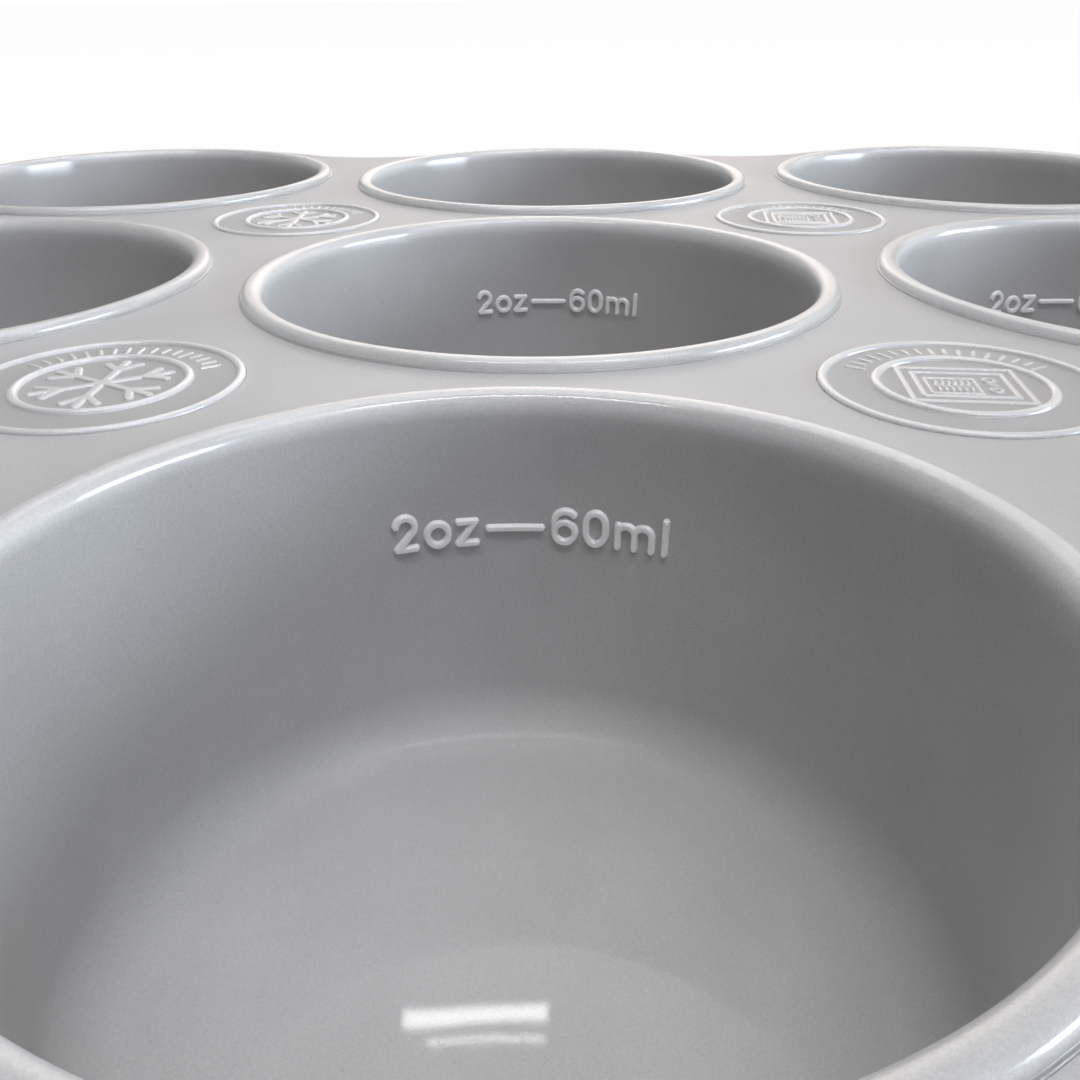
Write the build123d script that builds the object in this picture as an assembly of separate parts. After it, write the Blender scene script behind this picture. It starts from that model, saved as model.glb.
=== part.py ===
"""Nine-cup silicone freezer tray for baby food portions.

The tray is a thin scalloped deck that carries a square grid of round cups.  Each cup is a
drafted shell with a flat floor and a raised rounded lip that rests on the deck, and a round
badge with two raised rings lies where four cups meet.  All sizes are in millimetres.  The
origin is under the middle of the tray on the surface it stands on, +Z is up and -Y is the
front, from where the volume marks inside the cups are read.
"""

import os
from math import radians, sqrt, tan

from build123d import *

# Grid of cups, front to back and left to right.
ROW_NAMES = ("front", "middle", "back")
COLUMN_NAMES = ("left", "centre", "right")
WEB_BETWEEN_CUPS = 5.9

# Cup shell.  Heights inside the cup are measured from the top of the deck.
CUP_MOUTH_RADIUS = 32.4
CUP_DEPTH = 31.5
CUP_WALL_DRAFT = 4.4
CUP_WALL_THICKNESS = 1.8
CUP_FLOOR_THICKNESS = 2.0
CUP_FLOOR_FILLET = 5.5

# Raised lip round each mouth and the low ledge that it stands on.
LIP_WIDTH = 2.45
LIP_HEIGHT = 1.15
LIP_INNER_ROUND = 1.25
LIP_OUTER_ROUND = 0.8
LEDGE_WIDTH = 0.2
LEDGE_HEIGHT = 0.2

# Deck sheet with its scalloped outline.
DECK_THICKNESS = 2.4
DECK_MARGIN = 6.95
DECK_DIP_RADIUS = 22.8
DECK_EDGE_ROUND = 0.9

# Round badges, seated in shallow pockets of the deck.
BADGE_RADIUS = 12.5
BADGE_THICKNESS = 1.0
BADGE_INNER_RING_RADIUS = 7.9
BEAD_WIDTH = 0.95
BEAD_HEIGHT = 0.5

# Gap all round a piece that drops into a hole or pocket.
SEAT_CLEARANCE = 0.05

# Sizes that follow from the values above.
DECK_TOP = CUP_DEPTH + CUP_FLOOR_THICKNESS
LIP_RADIUS = CUP_MOUTH_RADIUS + LIP_WIDTH
LEDGE_RADIUS = LIP_RADIUS + LEDGE_WIDTH
CUP_PITCH = 2 * LEDGE_RADIUS + WEB_BETWEEN_CUPS
DRAFT_SLOPE = tan(radians(CUP_WALL_DRAFT))
CUP_NECK_RADIUS = CUP_MOUTH_RADIUS + CUP_WALL_THICKNESS
SCALLOP_RADIUS = LIP_RADIUS + DECK_MARGIN
LAST_ROW = len(ROW_NAMES) - 1
LAST_COLUMN = len(COLUMN_NAMES) - 1


def cell_centre(column, row):
    """Plan position of a grid place; half steps lie between the cups."""
    return Vector((column - LAST_COLUMN / 2) * CUP_PITCH, (row - LAST_ROW / 2) * CUP_PITCH)


def cup_radius(height, mouth_radius):
    """Radius of a drafted wall at a height above (negative: below) the top of the deck."""
    return mouth_radius + height * DRAFT_SLOPE


def make_cup():
    """One cup as a revolved section, its mouth at z = 0 and its axis on Z."""
    underside = -CUP_DEPTH - CUP_FLOOR_THICKNESS
    inside = FilletPolyline(
        (0, -CUP_DEPTH),
        (cup_radius(-CUP_DEPTH, CUP_MOUTH_RADIUS), -CUP_DEPTH),
        (cup_radius(LIP_HEIGHT, CUP_MOUTH_RADIUS), LIP_HEIGHT),
        (LIP_RADIUS, LIP_HEIGHT),
        (LIP_RADIUS, LEDGE_HEIGHT),
        radius=[CUP_FLOOR_FILLET, LIP_INNER_ROUND, LIP_OUTER_ROUND],
    )
    seat = Polyline(
        (LIP_RADIUS, LEDGE_HEIGHT),
        (LEDGE_RADIUS, LEDGE_HEIGHT),
        (LEDGE_RADIUS, 0),
        (CUP_NECK_RADIUS, 0),
        (CUP_NECK_RADIUS, -DECK_THICKNESS),
    )
    outside = FilletPolyline(
        (CUP_NECK_RADIUS, -DECK_THICKNESS),
        (cup_radius(underside + DECK_THICKNESS, CUP_NECK_RADIUS), underside),
        (0, underside),
        radius=CUP_FLOOR_FILLET + CUP_WALL_THICKNESS,
    )
    axis_line = Line((0, underside), (0, -CUP_DEPTH))
    section = make_face(inside.edges() + seat.edges() + outside.edges() + [axis_line])
    return revolve(Plane.XZ * section, Axis.Z)


def perimeter_cells():
    """Grid places of the outermost cups, counter-clockwise from the front left corner."""
    front = [(column, 0) for column in range(LAST_COLUMN)]
    right = [(LAST_COLUMN, row) for row in range(LAST_ROW)]
    back = [(column, LAST_ROW) for column in range(LAST_COLUMN, 0, -1)]
    left = [(0, row) for row in range(LAST_ROW, 0, -1)]
    return front + right + back + left


def deck_outline():
    """Closed outline: a round scallop about each outer cup, blended by concave dips."""
    centres = [cell_centre(column, row) for column, row in perimeter_cells()]
    reach = SCALLOP_RADIUS + DECK_DIP_RADIUS
    dip_offset = sqrt(reach**2 - (CUP_PITCH / 2) ** 2)
    dips = []
    for here, following in zip(centres, centres[1:] + centres[:1]):
        along = (following - here).normalized()
        outward = Vector(along.Y, -along.X)
        middle = (here + following) / 2
        dip_centre = middle + outward * dip_offset
        start = here + (dip_centre - here).normalized() * SCALLOP_RADIUS
        end = following + (dip_centre - following).normalized() * SCALLOP_RADIUS
        dips.append((start, dip_centre - outward * DECK_DIP_RADIUS, end))
    edges = []
    for centre, before, after in zip(centres, dips[-1:] + dips[:-1], dips):
        outward = ((before[2] + after[0]) / 2 - centre).normalized()
        crest = centre + outward * SCALLOP_RADIUS
        edges.append(ThreePointArc(before[2], crest, after[0]))
        edges.append(ThreePointArc(*after))
    return make_face(edges)


def make_deck():
    """The scalloped sheet with a hole for every cup and a pocket for every badge."""
    deck = extrude(deck_outline(), -DECK_THICKNESS)
    rim = deck.edges().group_by(Axis.Z)[0] + deck.edges().group_by(Axis.Z)[-1]
    deck = fillet(rim, DECK_EDGE_ROUND)
    hole = Cylinder(CUP_NECK_RADIUS + SEAT_CLEARANCE, 3 * DECK_THICKNESS)
    pocket = Pos(0, 0, -BADGE_THICKNESS / 2) * Cylinder(BADGE_RADIUS + SEAT_CLEARANCE, BADGE_THICKNESS)
    for column, row in cup_cells():
        deck -= Pos(*cell_centre(column, row)) * hole
    for column, row in badge_cells():
        deck -= Pos(*cell_centre(column, row)) * pocket
    return deck


def make_badge():
    """A disc with a half-round bead at its edge and a second one inside, top at z = 0."""

    def bead(radius):
        crown = (radius - BEAD_WIDTH / 2, BEAD_HEIGHT)
        return ThreePointArc((radius, 0), crown, (radius - BEAD_WIDTH, 0))

    outline = [
        Polyline((0, 0), (0, -BADGE_THICKNESS), (BADGE_RADIUS, -BADGE_THICKNESS), (BADGE_RADIUS, 0)),
        bead(BADGE_RADIUS),
        Line((BADGE_RADIUS - BEAD_WIDTH, 0), (BADGE_INNER_RING_RADIUS, 0)),
        bead(BADGE_INNER_RING_RADIUS),
        Line((BADGE_INNER_RING_RADIUS - BEAD_WIDTH, 0), (0, 0)),
    ]
    section = make_face([edge for piece in outline for edge in piece.edges()])
    return revolve(Plane.XZ * section, Axis.Z)


def cup_cells():
    """Grid places of the cups."""
    return [(column, row) for row in range(LAST_ROW + 1) for column in range(LAST_COLUMN + 1)]


def badge_cells():
    """Half-step grid places where four cups meet."""
    return [(column + 0.5, row + 0.5) for row in range(LAST_ROW) for column in range(LAST_COLUMN)]


def badge_name(column, row):
    """Name of a badge by the side of the tray that it lies on."""
    depth = "front" if row < LAST_ROW / 2 else "back"
    side = "left" if column < LAST_COLUMN / 2 else "right"
    return f"badge_{depth}_{side}"


def build():
    """Every node of the tray at its place, by name."""
    lift = Pos(0, 0, DECK_TOP)
    cup = make_cup()
    badge = make_badge()
    nodes = {"deck": lift * make_deck()}
    for column, row in cup_cells():
        name = f"cup_{ROW_NAMES[row]}_{COLUMN_NAMES[column]}"
        nodes[name] = lift * Pos(*cell_centre(column, row)) * cup
    for column, row in badge_cells():
        nodes[badge_name(column, row)] = lift * Pos(*cell_centre(column, row)) * badge
    return nodes


os.makedirs("parts", exist_ok=True)
for node, solid in build().items():
    export_step(solid, f"parts/{node}.step")
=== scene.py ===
"""Looks of the nine-cup silicone freezer tray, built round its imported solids.

Lengths are named in millimetres and turned into metres by MM; only the studio's lamps are placed
in metres.  Heights in a cup are measured from the top of the deck, as in the CAD model, and every
piece lies where its CAD node lies.
"""

from math import cos, pi, radians, sin, tan

import bpy
import numpy as np
from mathutils import Matrix, Quaternion, Vector, noise


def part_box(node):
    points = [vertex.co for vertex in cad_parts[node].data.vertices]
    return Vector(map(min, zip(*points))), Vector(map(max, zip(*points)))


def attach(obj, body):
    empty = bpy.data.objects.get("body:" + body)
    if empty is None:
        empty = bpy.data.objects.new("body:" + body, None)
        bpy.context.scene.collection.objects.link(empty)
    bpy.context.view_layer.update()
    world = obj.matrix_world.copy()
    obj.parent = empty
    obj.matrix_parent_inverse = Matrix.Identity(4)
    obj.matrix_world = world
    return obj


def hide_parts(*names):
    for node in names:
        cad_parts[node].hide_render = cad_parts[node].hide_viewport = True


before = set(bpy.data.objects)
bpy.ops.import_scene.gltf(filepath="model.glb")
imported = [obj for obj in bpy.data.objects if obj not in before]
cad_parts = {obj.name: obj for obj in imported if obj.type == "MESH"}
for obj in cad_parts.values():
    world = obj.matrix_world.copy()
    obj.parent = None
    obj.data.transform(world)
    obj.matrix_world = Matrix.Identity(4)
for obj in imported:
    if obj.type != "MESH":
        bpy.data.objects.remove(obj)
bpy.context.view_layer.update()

MM = 0.001

# Grid of cups, as in the CAD model.
ROW_NAMES = ("front", "middle", "back")
COLUMN_NAMES = ("left", "centre", "right")
CUP_PITCH = 76.0
CELLS = [(column, row) for row in range(3) for column in range(3)]

# Cup shell: inside and outside of its section, and the lip round its mouth.
MOUTH_RADIUS = 32.4
DRAFT_SLOPE = tan(radians(4.4))
CUP_DEPTH = 31.5
WALL_THICKNESS = 1.8
FLOOR_THICKNESS = 2.0
DECK_TOP = CUP_DEPTH + FLOOR_THICKNESS
FLOOR_FILLET = 5.5
LIP_RADIUS = 34.85
LIP_HEIGHT = 1.15
LIP_INNER_ROUND = 1.25
LIP_OUTER_ROUND = 0.8
LEDGE_RADIUS = 35.05
LEDGE_HEIGHT = 0.2
LEDGE_ROUND = 0.08
DECK_THICKNESS = 2.4

# How deep pieces are sunk in the deck, the fillet between its underside and a cup, and how far the
# flange of that fillet lies below the underside.
SUNK = 0.3
UNDER_FILLET = 1.2
UNDER_GAP = 0.01

# Fineness of the meshes: degrees between the points of an arc, longest straight stretch of a cup's
# section, and steps round a cup and a badge.
ARC_STEP = 11.0
CUP_STRETCH = 3.0
CUP_TURNS = 192
BADGE_TURNS = 128

# Waviness of the moulding: how far it moves a point, how wide it is, its shift per cup and its seed.
WAVE_SIZE = 0.05
WAVE_REACH = 18.0
WAVE_SHIFT = (7.3, 3.1, 5.7)
WAVE_SEED = 1

# Badge: a flush disc with two raised rings, lifted clear of the deck's top.
BADGE_RADIUS = 12.5
BADGE_INNER_RADIUS = 7.9
BADGE_LIFT = 0.01
RING_WIDTH = 0.9
RING_HEIGHT = 0.36
RING_FOOT = 0.06
RING_STEPS = 12

# Share of a ring's height from which its faces take the rings' material, whose lighter shade is painted
# light.
RING_LOOK_FROM = 0.15

# Raised strokes: the grid that they are meshed on, their foot and the hollow along their top.
MARK_STEP = 0.07
MARK_SKIRT = 0.12
MARK_DISH = 0.1

# Volume mark on a cup's wall: height of its dash in the cup and over the letters' foot, heights of
# the letters, stroke, relief and spread along the wall.
VOLUME_LINE = -10.8
VOLUME_DASH = 1.25
VOLUME_CAP = 2.85
VOLUME_LOW_CASE = 1.97
VOLUME_STROKE = 0.64
VOLUME_RELIEF = 0.45
VOLUME_SPREAD = 0.98

# Cups with a volume mark, and how far each mark lies to the right of the middle of the far wall.
MARK_SHIFTS = {(0, 0): 0.0, (1, 0): -0.05, (2, 0): 0.0, (1, 1): 1.3, (2, 1): 0.6}

# Signs on the badges.
SIGN_STROKE = 0.84
FRAME_STROKE = SIGN_STROKE * 0.67
FINE_STROKE = 0.34
SIGN_RELIEF = 0.2
FLAKE_ARMS = 6
FLAKE_ARM = 6.0
FLAKE_BRANCH_FROM = 3.5
FLAKE_BRANCH_TO = (1.5, 5.25)
OVEN_TURN = -4.5

# Graduations on the far side of each badge: angles in degrees, and the radii that ticks run between.
TICK_COUNT = 17
TICK_START = 30
TICK_SWEEP = 120
TICK_OUTER = 10.35
TICK_INNER = 9.15
LONG_TICK_INNER = 8.75
LONG_TICK_EVERY = 4
TICK_STROKE = 0.42
TICK_RELIEF = 0.14

# Silicone: tint, reflection of the body and of the gloss skin, and how deep light passes in.
SILICONE_TINT = (1.0, 0.988, 0.996)
SILICONE_IOR = 1.45
SILICONE_REFLECTION = 0.35
SKIN_IOR = 1.7
LIGHT_DEPTH = 6.0

# Grain of the silicone: scales per metre, depths as shares of the shade or in millimetres, the
# stretch of each noise that is used, and how far the specks lower and raise the roughness.
SPECK_SCALE = 5200
SPECK_DETAIL = 2
SPECK_DISTORTION = 1.2
SPECK_STRETCH = (0.38, 0.62)
SPECK_DEPTH = 0.05
SPECK_ROUGHNESS = (-0.05, 0.07)
CLOUD_SCALE = 90
CLOUD_DETAIL = 4
CLOUD_STRETCH = (0.35, 0.65)
CLOUD_DEPTH = 0.03
SWELL_SCALE = 60
SWELL_DETAIL = 1
SWELL_DEPTH = 0.03
SKIN_GRAIN_SHARE = 0.015

# Looks of a cup by height, blended between; the first holds for all that lies lower:
# (height, shade, share of gloss skin, share of light that passes in).  The lighter shade of the
# wall's top and of the lip, most at the lip's foot, is painted light on faces the lamps leave dark.
CUP_LOOKS = [
    (-2.8, 0.5, 0.08, 0),
    (-0.9, 0.55, 0.7, 1),
    (0.2, 0.7, 1.0, 1),
    (1.15, 0.54, 1.0, 1),
]

# Polished middle of a cup's floor: share of gloss skin, and the radii between which it fades.
# Outside them the skin is rougher.
POLISH = 0.6
POLISH_RADII = (16, 24)
OUTER_SKIN_ROUGHNESS = 0.16

# Studio floor: half its width, its shade and roughness, and the share of its own light that the
# camera sees near the tray's middle and far from it.
FLOOR_HALF = 6000
FLOOR_SHADE = 0.86
FLOOR_ROUGHNESS = 0.9
FLOOR_GLOW_REACH = (150, 380)
FLOOR_GLOW = (0.68, 0.965)

# Glows of the studio's sky, as (azimuth, elevation, colour).  Azimuth 0 is behind the tray and 90
# to its right, in degrees.
SKY_SHARPNESS = 16
SKY_GLOWS = [
    (0, 20, (1.97, 1.78, 1.68)),
    (0, 45, (0.82, 0.85, 0.89)),
    (50, 25, (1.03, 0.99, 0.89)),
    (130, 45, (0.81, 0.98, 1.16)),
    (180, 42, (0.55, 0.48, 0.45)),
    (-50, 20, (0.57, 0.61, 0.61)),
]

# Lamps, as (name, azimuth, elevation, distance, width, height, radiance, tint, roll), in metres
# and degrees.
WHITE = (1, 1, 1)
LAMPS = [
    ("softbox_above", 0, 75, 2.4, 1.6, 1.2, 2.0, WHITE, 0),
    ("softbox_above_right", 120, 60, 2.4, 1.2, 1.0, 2.1, WHITE, 0),
    ("softbox_right", 97, 11, 1.2, 0.7, 0.4, 11.5, (0.8, 0.9, 1.0), 0),
    ("strip_above", 180, 74, 2.4, 1.8, 0.2, 15.0, WHITE, 0),
    ("strip_behind", -7.9, 54.1, 1.2, 0.172, 0.018, 11.5, WHITE, -4),
    ("strip_thin", -7.0, 55.4, 1.2, 0.14, 0.006, 9.5, WHITE, -4),
]

# Camera: place, turns in degrees, width of its sensor, focal length, and nearest and farthest view.
CAMERA_PLACE = (3.75, -128.51, 64.71)
CAMERA_YAW = -1.787
CAMERA_PITCH = -27.236
CAMERA_ROLL = -0.462
CAMERA_SENSOR = 36
CAMERA_LENS = 35.834
CAMERA_CLIP = (1, 50000)


# ---------------------------------------------------------------- meshes


def add_mesh(name, points, faces, material):
    """A smooth mesh object in the row frame from points in millimetres."""
    mesh = bpy.data.meshes.new(name)
    mesh.from_pydata((np.array(points, float) * MM).tolist(), [], faces)
    mesh.validate()
    mesh.shade_smooth()
    mesh.materials.append(material)
    piece = bpy.data.objects.new(name, mesh)
    bpy.context.scene.collection.objects.link(piece)
    return piece


def rounded(corners):
    """Points of a section whose corners (x, z, radius) are rounded by arcs."""
    places = [Vector((x, z)) for x, z, _ in corners]
    path = [places[0]]
    for before, here, after, (_, _, radius) in zip(places, places[1:], places[2:], corners[1:]):
        into = (before - here).normalized()
        out = (after - here).normalized()
        if radius == 0:
            path.append(here)
            continue
        half = into.angle(out) / 2
        centre = here + (into + out).normalized() * (radius / sin(half))
        start = here + into * (radius / tan(half)) - centre
        sweep = start.angle_signed(here + out * (radius / tan(half)) - centre)
        steps = max(2, round(abs(sweep) / radians(ARC_STEP)))
        for k in range(steps + 1):
            path.append(centre + Matrix.Rotation(-sweep * k / steps, 2) @ start)
    path.append(places[-1])
    return [(p.x, p.y) for p in path]


def spread(section, longest):
    """The same section with long straight stretches divided."""
    fine = [section[0]]
    for (x0, z0), (x1, z1) in zip(section, section[1:]):
        parts = int(np.hypot(x1 - x0, z1 - z0) // longest) + 1
        for k in range(1, parts + 1):
            fine.append((x0 + (x1 - x0) * k / parts, z0 + (z1 - z0) * k / parts))
    return fine


def wavy(points, number):
    """Points moved by smooth noise, as a flexible moulding never comes out quite true."""
    offset = Vector([number * shift for shift in WAVE_SHIFT])
    return [Vector(p) + noise.noise_vector(Vector(p) / WAVE_REACH + offset) * WAVE_SIZE for p in points]


def lathe(name, section, centre, turns, material, wave_number=None):
    """A surface turned about a vertical axis from a section that starts and ends on it.

    It is wavy where a number is given, and differs from number to number.
    """
    ring = section[1:-1]
    angles = [2 * pi * k / turns for k in range(turns)]
    points = [(r * cos(a), r * sin(a), z) for r, z in ring for a in angles]
    points += [(0, 0, section[0][1]), (0, 0, section[-1][1])]
    points = [Vector(p) + Vector(centre) for p in points]
    if wave_number is not None:
        points = wavy(points, wave_number)
    faces = []
    for k in range(len(ring) - 1):
        low, high = k * turns, (k + 1) * turns
        for j in range(turns):
            following = (j + 1) % turns
            faces.append((low + j, high + j, high + following, low + following))
    first, last = len(points) - 2, len(points) - 1
    end = (len(ring) - 1) * turns
    faces += [(first, j, (j + 1) % turns) for j in range(turns)]
    faces += [(last, end + (j + 1) % turns, end + j) for j in range(turns)]
    return add_mesh(name, points, faces, material)


def relief(name, strokes, width, height, place, material):
    """Raised rounded strokes that merge where they meet, as a mould makes them.

    Strokes are lists of points (u, v).  place(u, v, h) gives the points at heights h over (u, v).
    """
    ends = np.array([(a, b) for line in strokes for a, b in zip(line, line[1:])], float)
    reach = width / 2 + MARK_SKIRT
    low = ends.reshape(-1, 2).min(0) - reach - MARK_STEP
    high = ends.reshape(-1, 2).max(0) + reach + MARK_STEP
    counts = np.ceil((high - low) / MARK_STEP).astype(int) + 1
    u, v = np.meshgrid(*(low[k] + MARK_STEP * np.arange(counts[k]) for k in (0, 1)), indexing="ij")
    nearest = np.full(u.shape, np.inf)
    for start, stop in ends:
        along = stop - start
        share = ((u - start[0]) * along[0] + (v - start[1]) * along[1]) / max(along @ along, 1e-12)
        share = np.clip(share, 0, 1)
        gap = np.hypot(u - start[0] - share * along[0], v - start[1] - share * along[1])
        nearest = np.minimum(nearest, gap)
    across = nearest / (width / 2)
    crown = np.sqrt(np.clip(1 - across**4, 0, 1)) - MARK_DISH * np.clip(1 - across**2, 0, 1)
    skirt = np.clip((nearest - width / 2) / MARK_SKIRT, 0, 1)
    rise = height * crown - height / 2 * skirt
    kept = nearest < reach + MARK_STEP
    whole = kept[:-1, :-1] & kept[1:, :-1] & kept[1:, 1:] & kept[:-1, 1:]
    corners = ((0, 0), (1, 0), (1, 1), (0, 1))
    used = np.zeros(u.shape, bool)
    for di, dj in corners:
        used[di : u.shape[0] - 1 + di, dj : u.shape[1] - 1 + dj] |= whole
    index = np.full(u.shape, -1)
    index[used] = np.arange(used.sum())
    faces = [[int(index[i + di, j + dj]) for di, dj in corners] for i, j in zip(*np.nonzero(whole))]
    return add_mesh(name, place(u[used], v[used], rise[used]), faces, material)


def arc(cx, cy, rx, ry, start, stop, steps):
    """Points of an arc of an ellipse, from one angle in degrees to another."""
    angles = [radians(start + (stop - start) * k / steps) for k in range(steps + 1)]
    return [(cx + rx * cos(a), cy + ry * sin(a)) for a in angles]


def rectangle(x, y, width, height):
    """Closed outline about a middle."""
    a, b = width / 2, height / 2
    return [(x - a, y - b), (x + a, y - b), (x + a, y + b), (x - a, y + b), (x - a, y - b)]


# ---------------------------------------------------------------- shader nodes


def feed(tree, node, inputs):
    """Sets the inputs of a node, or links them where the output of another node is given."""
    for socket, given in inputs.items():
        if isinstance(given, bpy.types.NodeSocket):
            tree.links.new(given, node.inputs[socket])
        else:
            node.inputs[socket].default_value = given


def add_node(tree, kind, inputs, output=0, operation=None):
    """One output of a new shader node, whose inputs are set or linked as in feed."""
    node = tree.nodes.new(f"ShaderNode{kind}")
    if operation:
        node.operation = operation
    feed(tree, node, inputs)
    return node.outputs[output]


def ranged(tree, value, source, target):
    """A value moved from the stretch between two ends to the stretch between two others."""
    ends = dict(zip(("From Min", "From Max", "To Min", "To Max"), (*source, *target)))
    return add_node(tree, "MapRange", {"Value": value, **ends}, "Result")


def cloud(tree, place, scale, detail, distortion=0.0):
    """Smooth noise, about 0.5."""
    kind = {"Scale": scale, "Detail": detail, "Distortion": distortion}
    return add_node(tree, "TexNoise", {"Vector": place, **kind}, "Fac")


def cup_skin(tree, place, polished_roughness):
    """Colour of a cup, and the other inputs of its shader, by height and by distance from its axis."""
    lowest, highest = CUP_LOOKS[0][0], CUP_LOOKS[-1][0]
    height = add_node(tree, "SeparateXYZ", {0: place}, "Z")
    stretch = [(DECK_TOP + level) * MM for level in (lowest, highest)]
    ramp = tree.nodes.new("ShaderNodeValToRGB")
    feed(tree, ramp, {"Fac": ranged(tree, height, stretch, (0, 1))})
    stops = ramp.color_ramp.elements
    for level, *_ in CUP_LOOKS[1:-1]:
        stops.new((level - lowest) / (highest - lowest))
    for stop, (_, *values) in zip(stops, CUP_LOOKS):
        stop.color = (*values, 1)
    parts = tree.nodes.new("ShaderNodeSeparateColor")
    feed(tree, parts, {"Color": ramp.outputs["Color"]})
    # The shade carries painted light: lighter up the wall's top and the lip, most at the lip's foot.
    shade, gloss, passing = (parts.outputs[k] for k in range(3))

    half = CUP_PITCH * MM / 2
    cell = {0: place, 1: (half, half, 1), 2: (-half, -half, -1)}
    from_axis = add_node(tree, "VectorMath", cell, operation="WRAP")
    level = add_node(tree, "VectorMath", {0: from_axis, 1: (1, 1, 0)}, operation="MULTIPLY")
    radius = add_node(tree, "VectorMath", {0: level}, "Value", operation="LENGTH")
    inner, outer = (r * MM for r in POLISH_RADII)
    polish = ranged(tree, radius, (inner, outer), (POLISH, 0))
    roughness = (polished_roughness, OUTER_SKIN_ROUGHNESS)

    colour = add_node(tree, "VectorMath", {0: shade, 1: SILICONE_TINT}, operation="MULTIPLY")
    return colour, {
        "Coat Weight": add_node(tree, "Math", {0: polish, 1: gloss}, operation="MAXIMUM"),
        "Coat Roughness": ranged(tree, radius, (outer, outer + MM), roughness),
        "Subsurface Weight": passing,
    }


def silicone(name, roughness, skin_roughness, grain, shade=None, gloss=1.0, passing=0.0):
    """Satin grey silicone: cloudy and speckled colour, fine moulded grain and a thin gloss skin.

    Grain is the depth of the specks in millimetres, gloss the share of skin, and passing the share
    of light that spreads inside.  With no shade given, shade, gloss and passing are a cup's.
    """
    material = bpy.data.materials.new(name)
    material.use_nodes = True
    tree = material.node_tree
    place = add_node(tree, "TexCoord", {}, "Object")
    if shade is None:
        colour, skin = cup_skin(tree, place, skin_roughness)
    else:
        colour = [shade * part for part in SILICONE_TINT]
        skin = {"Coat Weight": gloss, "Coat Roughness": skin_roughness, "Subsurface Weight": passing}

    speck = cloud(tree, place, SPECK_SCALE, SPECK_DETAIL, SPECK_DISTORTION)
    blotch = cloud(tree, place, CLOUD_SCALE, CLOUD_DETAIL)
    cloudy = ranged(tree, blotch, CLOUD_STRETCH, (-CLOUD_DEPTH, CLOUD_DEPTH))
    speckled = ranged(tree, speck, SPECK_STRETCH, (1 - SPECK_DEPTH, 1 + SPECK_DEPTH))
    factor = add_node(tree, "Math", {0: cloudy, 1: speckled}, operation="ADD")
    rough_ends = [roughness + change for change in SPECK_ROUGHNESS]

    def bumpy(depth, **under):
        return add_node(tree, "Bump", {"Height": speck, "Distance": depth * MM, **under}, "Normal")

    swell = {"Height": cloud(tree, place, SWELL_SCALE, SWELL_DETAIL), "Distance": SWELL_DEPTH * MM}
    swollen = add_node(tree, "Bump", swell, "Normal")
    feed(tree, tree.nodes["Principled BSDF"], {
        "Base Color": add_node(tree, "VectorMath", {0: colour, "Scale": factor}, operation="SCALE"),
        "Roughness": ranged(tree, speck, SPECK_STRETCH, rough_ends),
        "Normal": bumpy(grain, Normal=swollen),
        "Coat Normal": bumpy(grain * SKIN_GRAIN_SHARE, Normal=swollen),
        "IOR": SILICONE_IOR,
        "Specular IOR Level": SILICONE_REFLECTION,
        "Coat IOR": SKIN_IOR,
        "Subsurface Radius": (1, 1, 1),
        "Subsurface Scale": LIGHT_DEPTH * MM,
        **skin,
    })
    return material


DECK_LOOK = silicone("silicone_deck", 0.45, 0.2, 0.02, shade=0.5, gloss=0.2)
CUP_LOOK = silicone("silicone_cup", 0.42, 0.02, 0.035)
# The badge's field is the deck's silicone made darker: painted shade in and between its rings.
FIELD_PAINTED_SHADE_LOOK = silicone("silicone_field_painted_shade", 0.5, 0.2, 0.012, shade=0.425, gloss=0.2)
# Rings are the same silicone made lighter, painted light on their sides, with some light passing in.
RING_PAINTED_LIGHT_LOOK = silicone("silicone_rings_painted_light", 0.4, 0.08, 0.003, shade=0.84, passing=0.4)
# Signs and graduations are the same silicone made lighter: painted light on the raised strokes.
SIGN_PAINTED_LIGHT_LOOK = silicone("silicone_signs_painted_light", 0.4, 0.08, 0.003, shade=0.65)
# Volume marks are the wall's silicone made much lighter: painted light on the raised letters.
MARK_PAINTED_LIGHT_LOOK = silicone("silicone_marks_painted_light", 0.4, 0.1, 0.003, shade=0.95)


# ---------------------------------------------------------------- places


def centre_of(node):
    """Middle of a CAD node in plan, and the height of the deck's top, in millimetres."""
    low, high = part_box(node)
    middle = (low + high) / 2 / MM
    return middle.x, middle.y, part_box("deck")[1].z / MM


def dress(piece, *nodes):
    """A silicone piece fixed to the tray, which takes the place of these CAD nodes."""
    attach(piece, "root")
    if nodes:
        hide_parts(*nodes)


# ---------------------------------------------------------------- cups


def inside_radius(height):
    """Radius of a cup's drafted inside at a height."""
    return MOUTH_RADIUS + height * DRAFT_SLOPE


def cup_section():
    """Half section of a cup from the middle of its floor to the middle of its underside."""
    underside = -CUP_DEPTH - FLOOR_THICKNESS
    neck = MOUTH_RADIUS + WALL_THICKNESS
    foot = neck + (underside + DECK_THICKNESS) * DRAFT_SLOPE
    flange = neck + UNDER_FILLET
    flange_height = -DECK_THICKNESS - UNDER_GAP
    return rounded([
        (0, -CUP_DEPTH, 0),
        (inside_radius(-CUP_DEPTH), -CUP_DEPTH, FLOOR_FILLET),
        (inside_radius(LIP_HEIGHT), LIP_HEIGHT, LIP_INNER_ROUND),
        (LIP_RADIUS, LIP_HEIGHT, LIP_OUTER_ROUND),
        (LIP_RADIUS, LEDGE_HEIGHT, LEDGE_ROUND),
        (LEDGE_RADIUS, LEDGE_HEIGHT, LEDGE_ROUND),
        (LEDGE_RADIUS, -SUNK, 0),
        (neck, -SUNK, 0),
        (neck, SUNK - DECK_THICKNESS, 0),
        (flange, SUNK - DECK_THICKNESS, 0),
        (flange, flange_height, 0),
        (neck, flange_height, UNDER_FILLET),
        (foot, underside, FLOOR_FILLET + WALL_THICKNESS),
        (0, underside, 0),
    ])


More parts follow.
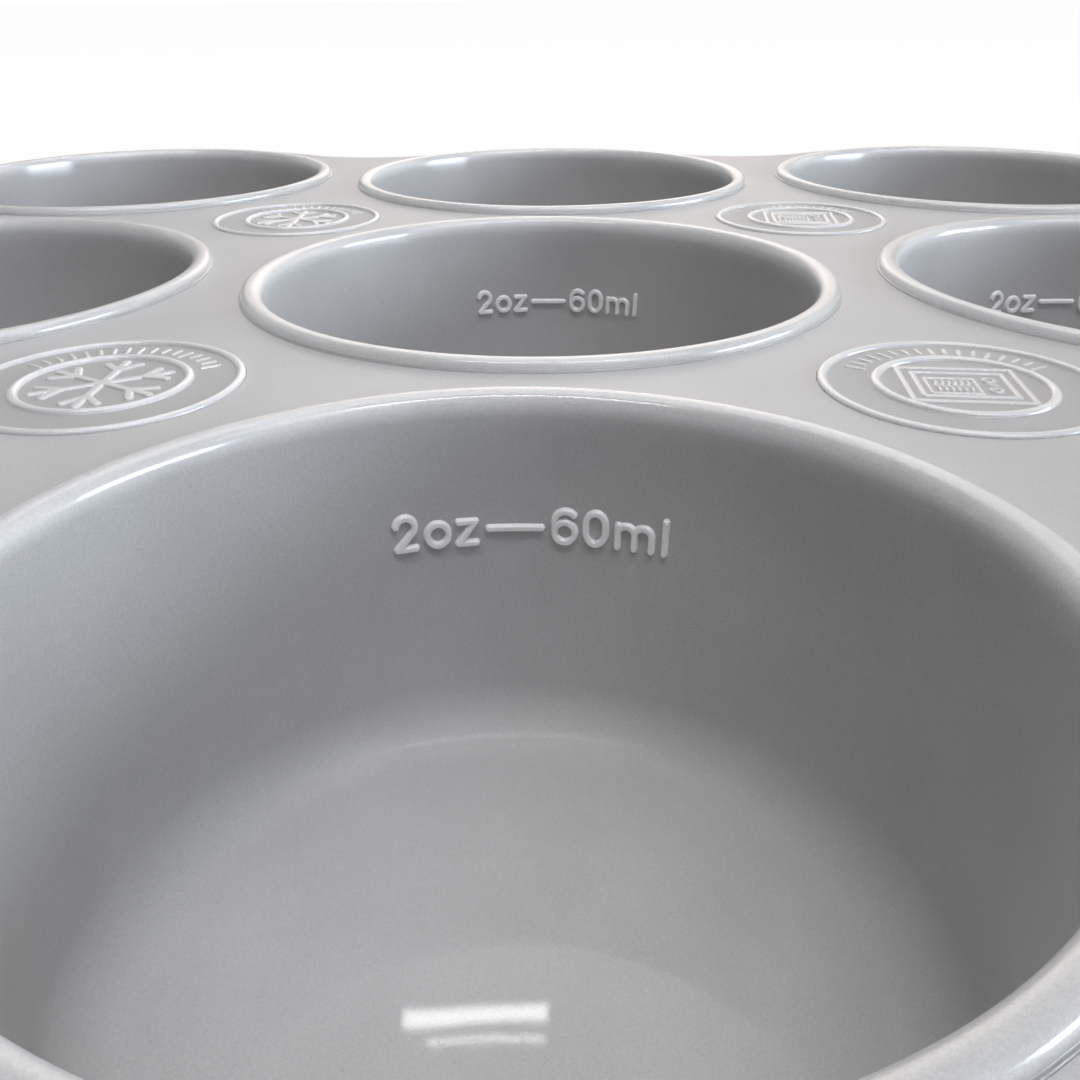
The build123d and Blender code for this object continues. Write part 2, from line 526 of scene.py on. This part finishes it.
def volume_mark():
    """Strokes of the generic volume graduation, two fluid ounces and sixty millilitres."""
    cap, low_case = VOLUME_CAP, VOLUME_LOW_CASE
    two = arc(-10.81, cap - 0.84, 0.86, 0.84, 170, -35, 16) + [(-11.62, 0), (-9.92, 0)]
    o = arc(-7.93, low_case / 2, 0.95, low_case / 2, 0, 360, 28)
    z = [(-6.05, low_case), (-4.55, low_case), (-6.1, 0), (-4.5, 0)]
    dash = [(-3.38, VOLUME_DASH), (1.33, VOLUME_DASH)]
    bowl = arc(3.42, 0.93, 0.92, 0.93, 0, 360, 28)
    six = arc(3.5, cap - 0.95, 1.0, 0.95, 42, 180, 12) + [(2.5, 0.93)]
    zero = arc(6.2, cap - 1.05, 0.87, 1.05, 0, 180, 14) + arc(6.2, 1.05, 0.87, 1.05, 180, 360, 14)
    zero.append(zero[0])
    stem = [(8.2, 0), (8.2, low_case)]
    first_arch = arc(8.96, low_case - 0.72, 0.76, 0.72, 180, 0, 12) + [(9.72, 0)]
    second_arch = arc(10.5, low_case - 0.72, 0.78, 0.72, 180, 0, 12) + [(11.28, 0)]
    ell = [(12.5, 0), (12.5, cap)]
    return [two, o, z, dash, bowl, six, zero, stem, first_arch, second_arch, ell]


def make_cup(column, row):
    """One cup and, where it has one, the volume mark on its far wall."""
    name = f"cup_{ROW_NAMES[row]}_{COLUMN_NAMES[column]}"
    x, y, top = centre_of(name)
    section = spread(cup_section(), CUP_STRETCH)
    number = CELLS.index((column, row))
    dress(lathe(f"{name}_shell", section, (x, y, top), CUP_TURNS, CUP_LOOK, number), name)

    def on_wall(u, v, h):
        height = VOLUME_LINE - VOLUME_DASH + v
        turn = (u * VOLUME_SPREAD + MARK_SHIFTS[column, row]) / inside_radius(VOLUME_LINE)
        reach = inside_radius(height) - h
        level = top + height - h * DRAFT_SLOPE
        return np.stack([x + reach * np.sin(turn), y + reach * np.cos(turn), level], -1)

    if (column, row) in MARK_SHIFTS:
        strokes = volume_mark()
        dress(relief(f"{name}_volume_mark", strokes, VOLUME_STROKE, VOLUME_RELIEF, on_wall, MARK_PAINTED_LIGHT_LOOK))


# ---------------------------------------------------------------- badges


def badge_section():
    """Half section of a badge: a flush disc with two half-round rings."""
    top = [(0, 0)]
    for radius in (BADGE_INNER_RADIUS, BADGE_RADIUS):
        crown = arc(RING_WIDTH / 2 - radius, 0, RING_WIDTH / 2, RING_HEIGHT, 0, 180, RING_STEPS)
        top.append((radius - RING_WIDTH - RING_FOOT, 0))
        top += [(-x, z) for x, z in crown]
        if radius < BADGE_RADIUS:
            top.append((radius + RING_FOOT, 0))
    return [*top, (BADGE_RADIUS, -SUNK), (0, -SUNK)]


def turned(strokes, degrees):
    """Strokes turned about the middle."""
    turn = Matrix.Rotation(radians(degrees), 2)
    return [[tuple(turn @ Vector(p)) for p in line] for line in strokes]


def snowflake():
    """Six arms with two side branches each, as (strokes, width)."""
    side, end = FLAKE_BRANCH_TO
    arm = [(0, 0), (0, FLAKE_ARM)]
    branches = [[(0, FLAKE_BRANCH_FROM), (x, end)] for x in (-side, side)]
    strokes = []
    for k in range(FLAKE_ARMS):
        strokes += turned([arm, *branches], 360 * k / FLAKE_ARMS)
    return [(strokes, SIGN_STROKE)]


def oven():
    """A generic oven sign, as (strokes, width): two frames, a window with waves and two knobs."""
    frames = [rectangle(0, 0, 10.0, 8.7), rectangle(0, 0, 7.8, 6.2)]
    window_x, window_y = -1.0, -0.4
    window = rectangle(window_x, window_y, 4.2, 3.9)
    swing, swing_turn, rise, half_count = 0.13, 0.9, 0.24, 5
    waves = []
    for x in (-1.35, -0.8, -0.25, 0.3, 0.85, 1.4):
        waves.append([
            (window_x + x + swing * sin(k * swing_turn), window_y + rise * (k - half_count))
            for k in range(2 * half_count + 1)
        ])
    knobs = [arc(2.4, 1.35, 0.5, 0.5, 0, 360, 14), arc(2.45, -1.3, 0.5, 0.5, 0, 360, 14)]
    pointer = [(2.1, 0.1), (2.8, -0.1)]
    fine = [window, *waves, *knobs, pointer]
    return [(turned(frames, OVEN_TURN), FRAME_STROKE), (turned(fine, OVEN_TURN), FINE_STROKE)]


def graduations():
    """Plain ticks round the far side of the band between the rings."""
    strokes = []
    for k in range(TICK_COUNT):
        angle = radians(TICK_START + TICK_SWEEP * k / (TICK_COUNT - 1))
        inner = TICK_INNER if k % LONG_TICK_EVERY else LONG_TICK_INNER
        strokes.append([(r * cos(angle), r * sin(angle)) for r in (inner, TICK_OUTER)])
    return strokes


def make_badge(node, sign):
    """One badge, its sign and its graduations."""
    x, y, top = centre_of(node)
    disc = lathe(f"{node}_disc", badge_section(), (x, y, top + BADGE_LIFT), BADGE_TURNS, FIELD_PAINTED_SHADE_LOOK)
    disc.data.materials.append(RING_PAINTED_LIGHT_LOOK)
    for face in disc.data.polygons:
        if face.center.z / MM - top > RING_HEIGHT * RING_LOOK_FROM:
            face.material_index = 1
    dress(disc, node)

    def on_deck(u, v, h):
        return np.stack([x + u, y + v, top + h], -1)

    for k, (strokes, width) in enumerate(sign):
        dress(relief(f"{node}_sign_{k}", strokes, width, SIGN_RELIEF, on_deck, SIGN_PAINTED_LIGHT_LOOK))
    ticks = relief(f"{node}_graduations", graduations(), TICK_STROKE, TICK_RELIEF, on_deck, SIGN_PAINTED_LIGHT_LOOK)
    dress(ticks)


# ---------------------------------------------------------------- studio


def studio_floor():
    """Pale floor that stays near white for the camera and keeps the tray's shadow."""
    material = bpy.data.materials.new("studio_floor")
    material.use_nodes = True
    tree = material.node_tree
    shader = tree.nodes["Principled BSDF"]
    feed(tree, shader, {
        "Base Color": (FLOOR_SHADE, FLOOR_SHADE, FLOOR_SHADE, 1),
        "Roughness": FLOOR_ROUGHNESS,
        "Specular IOR Level": 0.0,
    })
    place = add_node(tree, "TexCoord", {}, "Object")
    away = add_node(tree, "VectorMath", {0: place}, "Value", operation="LENGTH")
    glow = ranged(tree, away, [reach * MM for reach in FLOOR_GLOW_REACH], FLOOR_GLOW)
    for_camera = add_node(tree, "LightPath", {}, "Is Camera Ray")
    share = add_node(tree, "Math", {0: for_camera, 1: glow}, operation="MULTIPLY")
    light = add_node(tree, "Emission", {})
    blend = add_node(tree, "MixShader", {0: share, 1: shader.outputs[0], 2: light})
    feed(tree, tree.nodes["Material Output"], {"Surface": blend})
    half = FLOOR_HALF
    corners = [(-half, -half, 0), (half, -half, 0), (half, half, 0), (-half, half, 0)]
    floor = add_mesh("studio_floor", corners, [(0, 1, 2, 3)], material)


def direction(azimuth, elevation):
    """Unit vector towards a place in the studio."""
    a, e = radians(azimuth), radians(elevation)
    return Vector((sin(a) * cos(e), cos(a) * cos(e), sin(e)))


def studio_sky():
    """Broad glows on a black sky, which the camera itself sees as white."""
    world = bpy.data.worlds.new("studio")
    world.use_nodes = True
    bpy.context.scene.world = world
    tree = world.node_tree
    towards = add_node(tree, "TexCoord", {}, "Generated")
    total = (0, 0, 0)
    for azimuth, elevation, colour in SKY_GLOWS:
        middle = direction(azimuth, elevation)
        facing = add_node(tree, "VectorMath", {0: towards, 1: middle}, "Value", operation="DOT_PRODUCT")
        ahead = add_node(tree, "Math", {0: facing, 1: 0}, operation="MAXIMUM")
        lobe = add_node(tree, "Math", {0: ahead, 1: SKY_SHARPNESS}, operation="POWER")
        glow = {0: lobe, 1: colour, 2: total}
        total = add_node(tree, "VectorMath", glow, operation="MULTIPLY_ADD")
    blend = tree.nodes.new("ShaderNodeMix")
    blend.data_type = "RGBA"
    for_camera = add_node(tree, "LightPath", {}, "Is Camera Ray")
    feed(tree, blend, {"Factor": for_camera, "A": total, "B": (1, 1, 1, 1)})
    feed(tree, tree.nodes["Background"], {"Color": blend.outputs["Result"]})


def softbox(name, azimuth, elevation, distance, width, height, radiance, tint, roll):
    """A rectangular soft lamp that faces the tray."""
    lamp = bpy.data.lights.new(name, "AREA")
    lamp.shape = "RECTANGLE"
    lamp.size, lamp.size_y = width, height
    lamp.energy = radiance * width * height * pi
    lamp.color = tint
    box = bpy.data.objects.new(name, lamp)
    bpy.context.scene.collection.objects.link(box)
    away = direction(azimuth, elevation)
    box.location = away * distance
    facing = away.to_track_quat("Z", "Y") @ Quaternion((0, 0, 1), radians(roll))
    box.rotation_euler = facing.to_euler()


def camera():
    """The camera, from its place, turns and lens."""
    yaw, pitch, roll = (radians(a) for a in (CAMERA_YAW, CAMERA_PITCH, CAMERA_ROLL))
    forward = Vector((sin(yaw) * cos(pitch), cos(yaw) * cos(pitch), sin(pitch)))
    level = Vector((cos(yaw), -sin(yaw), 0))
    upright = level.cross(forward)
    right = level * cos(roll) + upright * sin(roll)
    up = upright * cos(roll) - level * sin(roll)
    lens = bpy.data.cameras.new("camera")
    lens.sensor_width = CAMERA_SENSOR
    lens.lens = CAMERA_LENS
    lens.clip_start, lens.clip_end = (reach * MM for reach in CAMERA_CLIP)
    view = bpy.data.objects.new("camera", lens)
    bpy.context.scene.collection.objects.link(view)
    turns = Matrix((right, up, -forward)).transposed().to_4x4()
    view.matrix_world = Matrix.Translation(Vector(CAMERA_PLACE) * MM) @ turns
    bpy.context.scene.camera = view


# ---------------------------------------------------------------- scene

# Without a seed, Blender takes the offsets of noise vectors from the clock.
noise.seed_set(WAVE_SEED)

# The deck's solid is shown as it was packed.
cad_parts["deck"].data.materials.clear()
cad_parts["deck"].data.materials.append(DECK_LOOK)
for column, row in CELLS:
    make_cup(column, row)
for depth in ("front", "back"):
    make_badge(f"badge_{depth}_left", snowflake())
    make_badge(f"badge_{depth}_right", oven())

studio_floor()
studio_sky()
for lamp in LAMPS:
    softbox(*lamp)
camera()

bpy.context.scene.view_settings.view_transform = "Standard"
